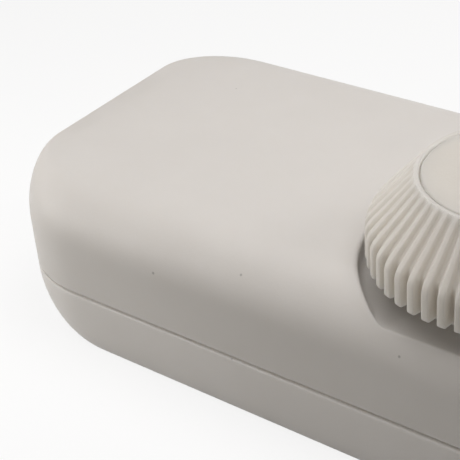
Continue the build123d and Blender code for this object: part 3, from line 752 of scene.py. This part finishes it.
def combined(piece, bm, operation):
    """Joins a bmesh to the piece with UNION, or cuts it out with DIFFERENCE."""
    mesh = bpy.data.meshes.new("tool")
    bm.to_mesh(mesh)
    bm.free()
    tool = bpy.data.objects.new("tool", mesh)
    bpy.context.scene.collection.objects.link(tool)
    change = piece.modifiers.new("change", "BOOLEAN")
    change.operation = operation
    change.solver = "EXACT"
    change.object = tool
    bpy.context.view_layer.update()
    result = bpy.data.meshes.new_from_object(piece.evaluated_get(bpy.context.evaluated_depsgraph_get()))
    piece.modifiers.remove(change)
    before = piece.data
    piece.data = result
    bpy.data.meshes.remove(before)
    bpy.data.objects.remove(tool)
    bpy.data.meshes.remove(mesh)


def creased(piece):
    """Smooth shading but for the edges that turn by more than the crease angle."""
    piece.data.shade_smooth()
    piece.data.set_sharp_from_angle(angle=math.radians(CREASE))
    return piece


def make_top_cover(material):
    directions = outline_directions(DIAL.xy.to_3d(), COVER_SIDE_STEP, CORNER_STEPS)
    cover = finish_mesh(ring_skin([cover_section(way) for way in directions]), "cover_shell")
    boss_top = CASE_Z - 0.75 * WALL
    bosses = bmesh.new()
    for x, y in four_corners(COVER_SCREW_X, COVER_SCREW_Y):
        upright_rod(bosses, x, y, COVER_BOSS_RADIUS, COVER_POST_Z, boss_top)
    combined(cover, bosses, "UNION")
    collars = bmesh.new()
    half_collars(collars, 1)
    combined(cover, collars, "UNION")
    holes = bmesh.new()
    for side in (-1, 1):
        entry_rod(holes, side, ENTRY_RADIUS, COLLAR_END_X - PAST, END_X + PAST)
    for x, y in four_corners(COVER_SCREW_X, COVER_SCREW_Y):
        upright_rod(holes, x, y, PILOT_RADIUS, COVER_POST_Z - PAST, COVER_SCREW_END_Z)
    combined(cover, holes, "DIFFERENCE")
    return dressed(creased(cover), "housing", "cover_plastic", material, "top_cover")


def make_base_shell(material):
    centre = Vector((0, 0, 0))
    directions = outline_directions(centre, BASE_SIDE_STEP, CORNER_STEPS)
    base = finish_mesh(ring_skin([base_section(way, centre) for way in directions]), "base_tray")
    mid_floor = WALL / 2
    posts = bmesh.new()
    for x, y in four_corners(COVER_SCREW_X, COVER_SCREW_Y):
        upright_rod(posts, x, y, COVER_POST_RADIUS, mid_floor, COVER_POST_Z)
    for x, y in four_corners(BOARD_POST_X, BOARD_POST_Y):
        upright_rod(posts, x, y, BOARD_POST_RADIUS, mid_floor, BOARD_LOW.z)
    for x, y in four_corners(CLAMP_X, CLAMP_Y):
        upright_rod(posts, x, y, CLAMP_POST_RADIUS, mid_floor, CLAMP_POST_Z)
    combined(base, posts, "UNION")
    collars = bmesh.new()
    half_collars(collars, -1)
    saddle_z = SEAM_Z - ENTRY_RADIUS
    for side in (-1, 1):
        middle = (side * CLAMP_X, 0, (mid_floor + saddle_z) / 2)
        block(collars, middle, (SADDLE_LENGTH, SADDLE_WIDTH, saddle_z - mid_floor))
    combined(base, collars, "UNION")
    holes = bmesh.new()
    for side in (-1, 1):
        entry_rod(holes, side, ENTRY_RADIUS, COLLAR_END_X - PAST, END_X + PAST)
    for x, y in four_corners(COVER_SCREW_X, COVER_SCREW_Y):
        upright_rod(holes, x, y, COVER_SCREW_HOLE, -PAST, COVER_POST_Z + PAST)
    for x, y in ((-BOARD_POST_X, BOARD_POST_Y), (BOARD_POST_X, -BOARD_POST_Y)):
        upright_rod(holes, x, y, PILOT_RADIUS, BOARD_PILOT_Z, BOARD_LOW.z + PAST)
    for x, y in four_corners(CLAMP_X, CLAMP_Y):
        upright_rod(holes, x, y, PILOT_RADIUS, CLAMP_PILOT_Z, CLAMP_POST_Z + PAST)
    combined(base, holes, "DIFFERENCE")
    recesses = bmesh.new()
    for x, y in four_corners(COVER_SCREW_X, COVER_SCREW_Y):
        upright_rod(recesses, x, y, RECESS_RADIUS, -PAST, COVER_SCREW_SINK)
    over_seam = 0.01 * MM
    gap_low = SEAM_Z + over_seam
    gap_high = SEAM_Z + LIP_HEIGHT + PAST
    for side in (-1, 1):
        middle = (side * (END_X - WALL / 2), 0, (gap_low + gap_high) / 2)
        width = 2 * (COLLAR_OUTSIDE + LIP_CLEARANCE)
        block(recesses, middle, (2 * WALL + 2 * PAST, width, gap_high - gap_low))
    combined(base, recesses, "DIFFERENCE")
    return dressed(creased(base), "housing", "base_plastic", material, "base_shell")


# Dial: places across half a rib where the surface falls, and how far it has fallen at the flank's ends
CREST_EDGE = 0.1
FLANK_TOP = 0.24
FLANK_FOOT = 0.38
GROOVE_EDGE = 0.44
FLANK_TOP_SHARE = 0.14
FLANK_FOOT_SHARE = 0.86
SOFT_CREST_EDGE = 0.14
SOFT_GROOVE_EDGE = 0.4
HALF_RIB = (0.0, 0.1, 0.14, 0.175, 0.205, 0.225, 0.24, 0.27, 0.31, 0.35, 0.38, 0.41, 0.44, 0.47)


def soft_share(run):
    """The fall on the cone: a wave with a flat crest and a flat groove."""
    turn = (run - SOFT_CREST_EDGE) / (SOFT_GROOVE_EDGE - SOFT_CREST_EDGE)
    turn = min(1.0, max(0.0, turn))
    return turn * turn * (3 - 2 * turn)


def steep_share(run):
    """The fall on the skirt: a rounded edge, a steep flank and a small fillet."""
    if run <= CREST_EDGE:
        return 0.0
    if run <= FLANK_TOP:
        turn = (run - CREST_EDGE) / (FLANK_TOP - CREST_EDGE)
        return FLANK_TOP_SHARE * (1 - math.sqrt(max(0.0, 1 - turn * turn)))
    if run <= FLANK_FOOT:
        turn = (run - FLANK_TOP) / (FLANK_FOOT - FLANK_TOP)
        return FLANK_TOP_SHARE + (FLANK_FOOT_SHARE - FLANK_TOP_SHARE) * turn
    turn = min(1.0, (run - FLANK_FOOT) / (GROOVE_EDGE - FLANK_FOOT))
    return FLANK_FOOT_SHARE + (1 - FLANK_FOOT_SHARE) * math.sin(turn * math.pi / 2)


def rib_phases():
    """Places across one rib and half of the groove on each side of it."""
    return [-0.5] + [-phase for phase in HALF_RIB[:0:-1]] + list(HALF_RIB)


def dial_rings():
    """Points on a rib's crest and on a groove's floor, from the cap's seat out and down the skirt.

    Each pair has a third value, 0 for the cone's soft flanks and 1 for the skirt's steep ones."""
    crown = Vector((SURROUND_RADIUS, CROWN_Z))
    turn = Vector((DIAL_RADIUS, SHOULDER_Z))
    down = (turn - crown).normalized()
    inward = Vector((down.y, -down.x))
    shoulder = 0.9 * MM
    root_shoulder = 0.5 * MM
    root_radius = DIAL_RADIUS - RIB_DEPTH
    root_turn = Vector((root_radius, SHOULDER_Z - RIB_DEPTH * down.y / down.x - RIB_CONE_DEPTH / down.x))
    root_crown = crown + inward * RIB_TOP_DEPTH
    above = turn - down * shoulder
    below = turn - Vector((0, shoulder))
    root_above = root_turn - (root_turn - root_crown).normalized() * root_shoulder
    root_below = root_turn - Vector((0, root_shoulder))
    fade_steps = 2
    pairs = []
    for step in range(CONE_STEPS + 1):
        crest = crown.lerp(above, step / CONE_STEPS)
        root = root_crown.lerp(root_above, step / CONE_STEPS)
        fade = math.sin(min(1.0, step / fade_steps) * math.pi / 2)
        pairs.append((crest, crest.lerp(root, fade), 0.0))
    crests = corner_curve(tuple(above), tuple(turn), tuple(below), SHOULDER_STEPS)
    roots = corner_curve(tuple(root_above), tuple(root_turn), tuple(root_below), SHOULDER_STEPS)
    for step in range(1, len(crests)):
        pairs.append((Vector(crests[step]), Vector(roots[step]), step / (len(crests) - 1)))
    end_bevel = 0.22 * MM
    root_bevel = 0.05 * MM
    root_lift = 0.3 * MM
    for share in (0.5, 1.0):
        z = below.y + (SKIRT_Z + end_bevel - below.y) * share
        root_z = root_below.y + (SKIRT_Z + end_bevel + root_lift - root_below.y) * share
        pairs.append((Vector((DIAL_RADIUS, z)), Vector((root_radius, root_z)), 1.0))
    end = Vector((DIAL_RADIUS - end_bevel, SKIRT_Z))
    pairs.append((end, Vector((root_radius - root_bevel, SKIRT_Z + root_lift)), 1.0))
    return pairs


def dial_section(angle, phase, rings, under):
    """One closed section of the dial along an angle, at a place across its rib."""
    soft = soft_share(abs(phase))
    steep = steep_share(abs(phase))
    direction = Vector((math.cos(angle), math.sin(angle), 0))
    points = []
    for crest, root, steepness in rings:
        point = crest.lerp(root, soft + (steep - soft) * steepness)
        points.append(DIAL.xy.to_3d() + direction * point.x + Vector((0, 0, point.y)))
    for out, z in under:
        points.append(DIAL.xy.to_3d() + direction * out + Vector((0, 0, z)))
    return points


def dial_underside():
    """Radius and height of points from the skirt's foot in to the hub's bore and up to the cap's pocket."""
    root = DIAL_RADIUS - RIB_DEPTH
    wall = 1.8 * MM
    inner = root - wall
    foot_bevel = 0.3 * MM
    foot_z = SKIRT_Z + foot_bevel
    roof_z = CROWN_Z - 4.1 * MM
    inner_z = SHOULDER_Z - 1.6 * MM
    sleeve_out = 10.3 * MM
    sleeve_in = 8.7 * MM
    sleeve_z = KNOB_LOW.z
    hub = 6.4 * MM
    hub_z = SKIRT_Z - 0.5 * MM
    bore = 3.05 * MM
    seat_z = CAP_LOW.z - 2.6 * MM
    web_z = seat_z - 0.8 * MM
    recess = 3.1 * MM
    screw_hole = 1.6 * MM
    edge = 0.2 * MM
    return [
        (root - foot_bevel, foot_z), (inner, foot_z), (inner, inner_z),
        (sleeve_out, roof_z), (sleeve_out, sleeve_z), (sleeve_in, sleeve_z), (sleeve_in, roof_z),
        (hub, roof_z), (hub, hub_z), (bore, hub_z), (bore, web_z),
        (screw_hole, web_z), (screw_hole, seat_z), (recess, seat_z), (recess, CAP_LOW.z),
        (CAP_RADIUS, CAP_LOW.z), (CAP_RADIUS, CROWN_Z - edge), (CAP_RADIUS + edge, CROWN_Z),
    ]


def make_dial_knob(material):
    rings = dial_rings()
    under = dial_underside()
    sections = []
    for rib in range(RIB_COUNT):
        for phase in rib_phases():
            angle = math.tau * (rib + phase) / RIB_COUNT
            sections.append(dial_section(angle, phase, rings, under))
    dial = finish_mesh(ring_skin(sections), "ribbed_dial", DIAL_CREASE)
    return dressed(dial, "dial", "dial_plastic", material, "dial_knob")


def make_dial_cap(material):
    rim = (CAP_HIGH.x - CAP_LOW.x) / 2
    crown = CAP_HIGH.z - CROWN_Z
    edge = 0.25 * MM
    profile = [(0, CAP_LOW.z), (rim, CAP_LOW.z), (rim, CROWN_Z - edge)]
    for sine, cosine in quarter(CAP_EDGE_STEPS)[1:]:
        profile.append((rim - edge * (1 - cosine), CROWN_Z - edge * (1 - sine)))
    for share in (0.8, 0.6, 0.4, 0.2, 0.0):
        profile.append((rim * share, CROWN_Z + crown * (1 - share ** 2)))
    bm = turned_skin(profile, CAP_STEPS, DIAL)
    return dressed(finish_mesh(bm, "dial_disc"), "dial", "dial_plastic", material, "dial_cap")


def make_choke_winding(material):
    """Turns of round wire side by side over the core, and the two leads down into the board."""
    wire = WIRE_RADIUS
    inner = CHOKE_INNER + WINDING_THICKNESS / 2
    outer = CHOKE_OUTER - WINDING_THICKNESS / 2
    middle = (inner + outer) / 2
    low = BOARD_HIGH.z + wire
    high = WINDING_HIGH.z - wire
    loop = [(middle, low)]
    for radius, z, first_quarter in (
        (outer - WIRE_CORNER, low + WIRE_CORNER, 3), (outer - WIRE_CORNER, high - WIRE_CORNER, 0),
        (inner + WIRE_CORNER, high - WIRE_CORNER, 1), (inner + WIRE_CORNER, low + WIRE_CORNER, 2),
    ):
        for step in range(WIRE_CORNER_STEPS + 1):
            angle = math.pi / 2 * (first_quarter + step / WIRE_CORNER_STEPS)
            loop.append((radius + WIRE_CORNER * math.cos(angle), z + WIRE_CORNER * math.sin(angle)))
    places = [(middle, WINDING_LOW.z, 0.0)]
    for turn in range(WINDING_TURNS):
        for index, (radius, z) in enumerate(loop):
            places.append((radius, z, (turn + index / len(loop)) / WINDING_TURNS))
    places += [(middle, low, 1.0), (middle, WINDING_LOW.z, 1.0)]
    path = []
    for radius, z, share in places:
        angle = WINDING_START + share * WINDING_SWEEP
        path.append(Vector((CHOKE_X + radius * math.cos(angle), CHOKE_Y + radius * math.sin(angle), z)))
    bm = bmesh.new()
    bmesh.ops.create_grid(bm, x_segments=len(path) - 1, y_segments=WIRE_SIDES, size=1.0)
    frames = []
    for index, point in enumerate(path):
        ahead = path[min(index + 1, len(path) - 1)] - path[max(index - 1, 0)]
        out = Vector((point.x - CHOKE_X, point.y - CHOKE_Y, 0)).normalized()
        sideways = Vector((-out.y, out.x, 0))
        across = ahead.cross(sideways).normalized()
        frames.append((point, sideways, across))
    for vert in bm.verts:
        index = round((vert.co.x + 1) / 2 * (len(path) - 1))
        angle = math.tau * round((vert.co.y + 1) / 2 * WIRE_SIDES) / WIRE_SIDES
        point, sideways, across = frames[index]
        vert.co = point + wire * (sideways * math.cos(angle) + across * math.sin(angle))
    bmesh.ops.remove_doubles(bm, verts=bm.verts, dist=WIRE_NEARLY_NONE)
    ends = [edge for edge in bm.edges if edge.is_boundary]
    bmesh.ops.holes_fill(bm, edges=ends)
    bmesh.ops.recalc_face_normals(bm, faces=bm.faces)
    piece = finish_mesh(bm, "choke_turns", WIRE_CREASE)
    return dressed(piece, "housing", "enamelled_copper", material, "choke_winding")


# The floor and the light, where the floor is brighter as seen than in the light that it throws back
FLOOR_SIZE = 4.0
FLOOR_SEEN = (0.92, 0.92, 0.91)
FLOOR_THROWN = (0.5, 0.5, 0.49)
FLOOR_GLOW = 0.82
LAMP_AIM = (-0.03, 0.0, 0.01)
LAMP_WHITE = (1.0, 0.988, 0.99)
LAMP_WARM = (1.0, 0.975, 0.95)

# Each lamp has a name, a place and a size in metres, a power in watts and a colour
LAMPS = (
    ("left_overhead_lamp", (-0.157, 0.0, 0.282), 0.15, 0.034, LAMP_WHITE),
    ("front_overhead_lamp", (-0.12, -0.09, 0.282), 0.15, 0.142, LAMP_WHITE),
    ("right_overhead_lamp", (0.097, 0.0, 0.282), 0.15, 0.184, LAMP_WHITE),
    ("back_low_lamp", (0.175, 0.205, 0.088), 0.15, 0.36, LAMP_WHITE),
    ("overhead_lamp", (-0.03, 0.011, 0.135), 0.06, 0.046, LAMP_WHITE),
    ("corner_lamp", (-0.133, -0.116, 0.06), 0.05, 0.029, LAMP_WARM),
    ("left_low_lamp", (-0.133, -0.07, 0.04), 0.05, 0.027, LAMP_WARM),
)
WORLD_COLOUR = (1.0, 0.96, 0.92, 1.0)
WORLD_STRENGTH = 0.2


def make_stage():
    bm = bmesh.new()
    bmesh.ops.create_grid(bm, x_segments=1, y_segments=1, size=FLOOR_SIZE)
    mesh = bpy.data.meshes.new("floor")
    bm.to_mesh(mesh)
    bm.free()
    floor = bpy.data.objects.new("floor", mesh)
    bpy.context.scene.collection.objects.link(floor)
    material, tree, shader = new_material("pale_floor")
    shader.inputs["Roughness"].default_value = 0.9
    white = add_node(tree, "ShaderNodeEmission", Strength=1.0)
    path = add_node(tree, "ShaderNodeLightPath")
    tint = blended(tree, path.outputs["Is Camera Ray"], FLOOR_THROWN, FLOOR_SEEN)
    tree.links.new(tint, shader.inputs["Base Color"])
    seen = add_node(tree, "ShaderNodeMath", operation="MAXIMUM")
    tree.links.new(path.outputs["Is Camera Ray"], seen.inputs[0])
    tree.links.new(path.outputs["Is Glossy Ray"], seen.inputs[1])
    seen_through = add_node(tree, "ShaderNodeMath", operation="MAXIMUM")
    tree.links.new(seen.outputs["Value"], seen_through.inputs[0])
    tree.links.new(path.outputs["Is Transmission Ray"], seen_through.inputs[1])
    share = add_node(tree, "ShaderNodeMath", operation="MULTIPLY")
    share.inputs[1].default_value = FLOOR_GLOW
    tree.links.new(seen_through.outputs["Value"], share.inputs[0])
    mix = add_node(tree, "ShaderNodeMixShader")
    tree.links.new(share.outputs["Value"], mix.inputs["Fac"])
    tree.links.new(shader.outputs["BSDF"], mix.inputs[1])
    tree.links.new(white.outputs["Emission"], mix.inputs[2])
    tree.links.new(mix.outputs["Shader"], tree.nodes["Material Output"].inputs["Surface"])
    mesh.materials.append(material)


def make_world():
    world = bpy.data.worlds.new("studio")
    bpy.context.scene.world = world
    world.use_nodes = True
    tree = world.node_tree
    dim = tree.nodes["Background"]
    dim.inputs["Color"].default_value = WORLD_COLOUR
    dim.inputs["Strength"].default_value = WORLD_STRENGTH
    white = add_node(tree, "ShaderNodeBackground")
    white.inputs["Color"].default_value = (1.0, 1.0, 1.0, 1.0)
    path = add_node(tree, "ShaderNodeLightPath")
    mix = add_node(tree, "ShaderNodeMixShader")
    tree.links.new(path.outputs["Is Camera Ray"], mix.inputs["Fac"])
    tree.links.new(dim.outputs["Background"], mix.inputs[1])
    tree.links.new(white.outputs["Background"], mix.inputs[2])
    tree.links.new(mix.outputs["Shader"], tree.nodes["World Output"].inputs["Surface"])


def make_lamp(name, place, size, power, colour):
    data = bpy.data.lights.new(name, "AREA")
    data.shape = "SQUARE"
    data.size = size
    data.energy = power
    data.color = colour
    lamp = bpy.data.objects.new(name, data)
    bpy.context.scene.collection.objects.link(lamp)
    lamp.location = place
    lamp.visible_camera = False
    lamp.rotation_mode = "QUATERNION"
    lamp.rotation_quaternion = (Vector(place) - Vector(LAMP_AIM)).to_track_quat("Z", "Y")


bpy.context.scene.view_settings.view_transform = "Standard"
make_camera()
make_stage()
make_world()
for lamp_row in LAMPS:
    make_lamp(*lamp_row)

# Specks in the plastic: where each is and its radius, in millimetres
COVER_SPECKS = (
    (-38.3, -23.9, 16.8, 0.24), (-26.2, -22.4, 20.0, 0.2), (-4.8, -23.6, 17.9, 0.2),
    (21.0, 8.0, 22.5, 0.14), (34.0, 23.9, 14.0, 0.16), (-12.0, 23.5, 17.5, 0.14),
    (64.6, 6.5, 13.6, 0.15), (-51.0, 10.5, 22.5, 0.13),
)
BASE_SPECKS = (
    (-27.4, -24.0, 8.5, 0.26), (12.0, -24.0, 4.4, 0.15), (-8.0, 24.0, 5.0, 0.16),
    (40.0, 23.7, 3.0, 0.14),
)
CASE_GRAIN = 0.012 * MM
CASE_DEPTH = 1.0 * MM
DIAL_GRAIN = 0.01 * MM
DIAL_DEPTH = 3.0 * MM
COVER_WHITE = moulded_plastic(
    "cover_plastic", (0.70, 0.675, 0.643), (0.68, 0.655, 0.623), 0.5, CASE_GRAIN, COVER_SPECKS, CASE_DEPTH
)
# The base is the cover's plastic in a lighter colour: painted light for the floor's light thrown up onto the lower
# shell
BASE_WHITE_PAINTED_LIGHTER = moulded_plastic(
    "base_plastic", (0.75, 0.725, 0.695), (0.73, 0.705, 0.675), 0.5, CASE_GRAIN, BASE_SPECKS, CASE_DEPTH
)
DIAL_WHITE = moulded_plastic(
    "dial_plastic", (0.67, 0.635, 0.58), (0.65, 0.615, 0.56), 0.5, DIAL_GRAIN, depth=DIAL_DEPTH
)

make_top_cover(COVER_WHITE)
make_base_shell(BASE_WHITE_PAINTED_LIGHTER)
make_dial_knob(DIAL_WHITE)
make_dial_cap(DIAL_WHITE)

materials = inner_materials()
make_choke_winding(materials["enamelled_copper"])
materials.update(cover_plastic=COVER_WHITE, base_plastic=BASE_WHITE_PAINTED_LIGHTER, dial_plastic=DIAL_WHITE)
dress_nodes(materials, {
    "resistors": banded_body(
        "resistor_body", "resistors", RESISTOR_LENGTH, (0.55, 0.42, 0.28),
        ((0.12, BROWN), (0.29, BLACK), (0.46, ORANGE), (0.8, GOLD)),
    ),
    "trigger_diode": banded_body(
        "diode_body", "trigger_diode", DIODE_LENGTH, (0.42, 0.16, 0.08), ((0.75, BLACK),)
    ),
})
